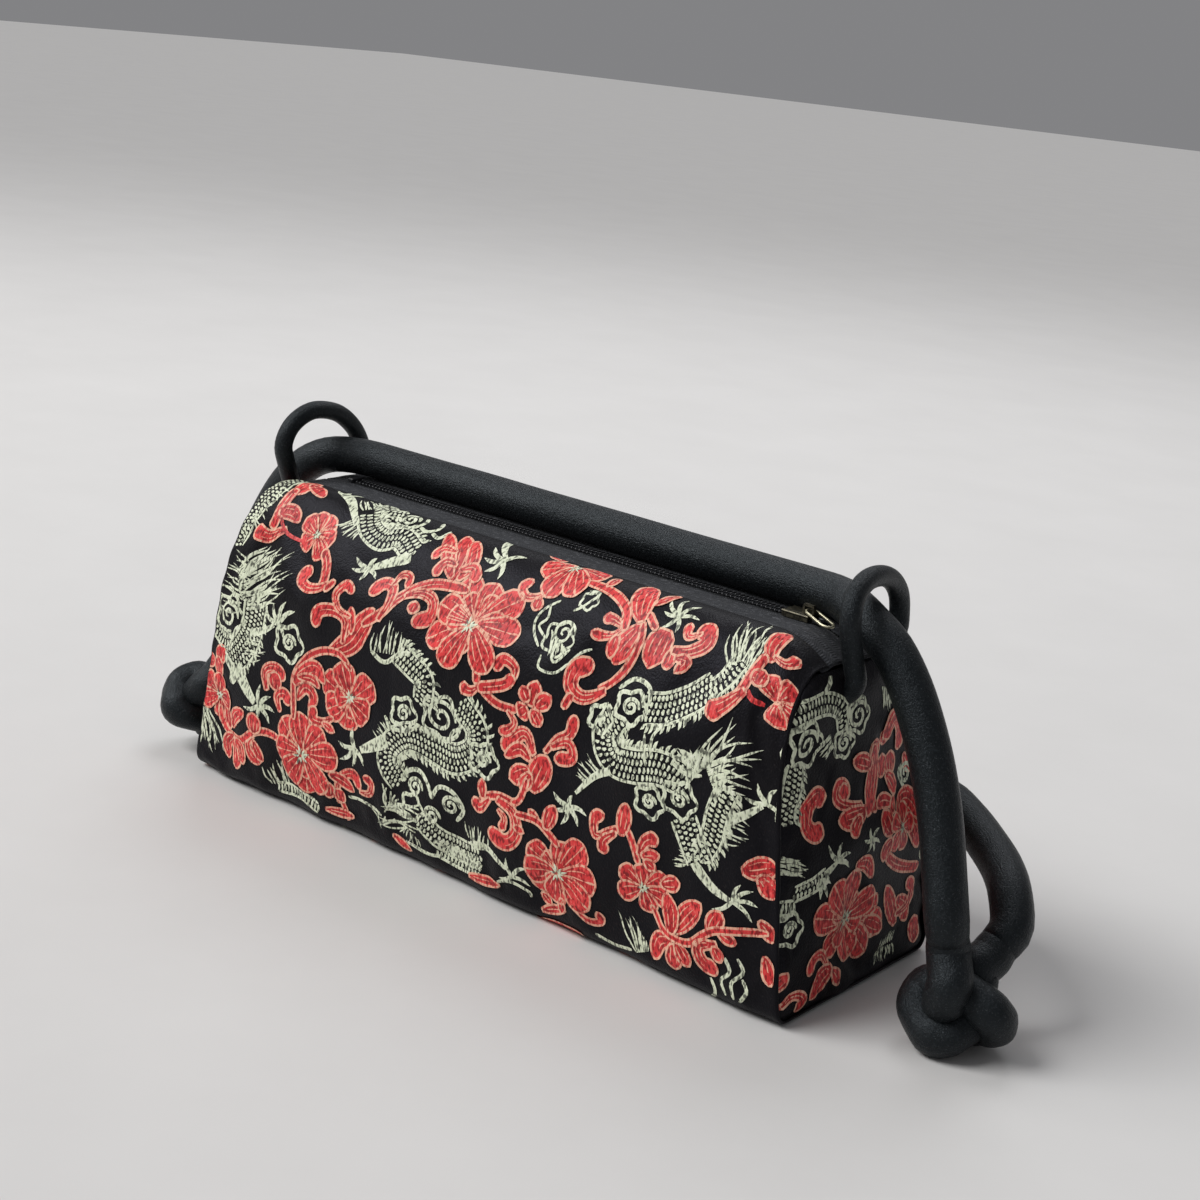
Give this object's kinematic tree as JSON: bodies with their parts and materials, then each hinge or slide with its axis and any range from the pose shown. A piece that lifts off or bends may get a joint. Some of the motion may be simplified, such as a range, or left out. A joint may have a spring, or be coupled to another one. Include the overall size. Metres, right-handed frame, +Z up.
{
  "type": "handbag",
  "caption": "Small zipped brocade handbag with a flat base, sewn cord loops at its ends and a knotted rope handle that lies over the top.",
  "frame": {"origin": "middle of the base, at the height of the surface that the bag stands on", "axes": "+X runs along the zip towards its closed end, -Y is the front of the bag and +Z is up"},
  "size_m": [0.3348, 0.1039, 0.1309],
  "materials": {
    "brocade": "black satin brocade with woven red flowers and pale green dragons",
    "padding": "soft needled wadding",
    "lining": "plain dark twill",
    "zip_tape": "charcoal woven herringbone tape",
    "zip_teeth": "black nylon coil",
    "zip_slider": "dull antique brass",
    "zip_pull": "pale brass, worn smooth",
    "rope": "black satin cord with a soft sheen"
  },
  "bodies": {
    "bag": {"brocade_wrap": "brocade", "end_panel_left": "brocade", "end_panel_right": "brocade", "handle_strand_back": "rope", "handle_strand_top": "rope", "knot_left": "rope", "knot_right": "rope", "lining_end_left": "lining", "lining_end_right": "lining", "lining_wrap": "lining", "loop_left": "rope", "loop_right": "rope", "padding_end_left": "padding", "padding_end_right": "padding", "padding_wrap": "padding", "zip_bottom_stop": "zip_teeth", "zip_tape_back": "zip_tape", "zip_tape_front": "zip_tape", "zip_teeth_back": "zip_teeth", "zip_teeth_front": "zip_teeth", "zip_top_stop_back": "zip_teeth", "zip_top_stop_front": "zip_teeth"},
    "slider": {"zip_slider": "zip_slider"},
    "pull": {"zip_pull": "zip_pull"}
  },
  "joints": [
    {"name": "zip_slide", "type": "slide", "parent": "bag", "child": "slider", "axis": [1, 0, 0], "range_m": [-0.179, 0]},
    {"name": "pull_swing", "type": "hinge", "parent": "slider", "child": "pull", "pos_m": [0.09255, 0, 0.1084], "axis": [0, -1, 0], "range_deg": [0, 185]}
  ]
}
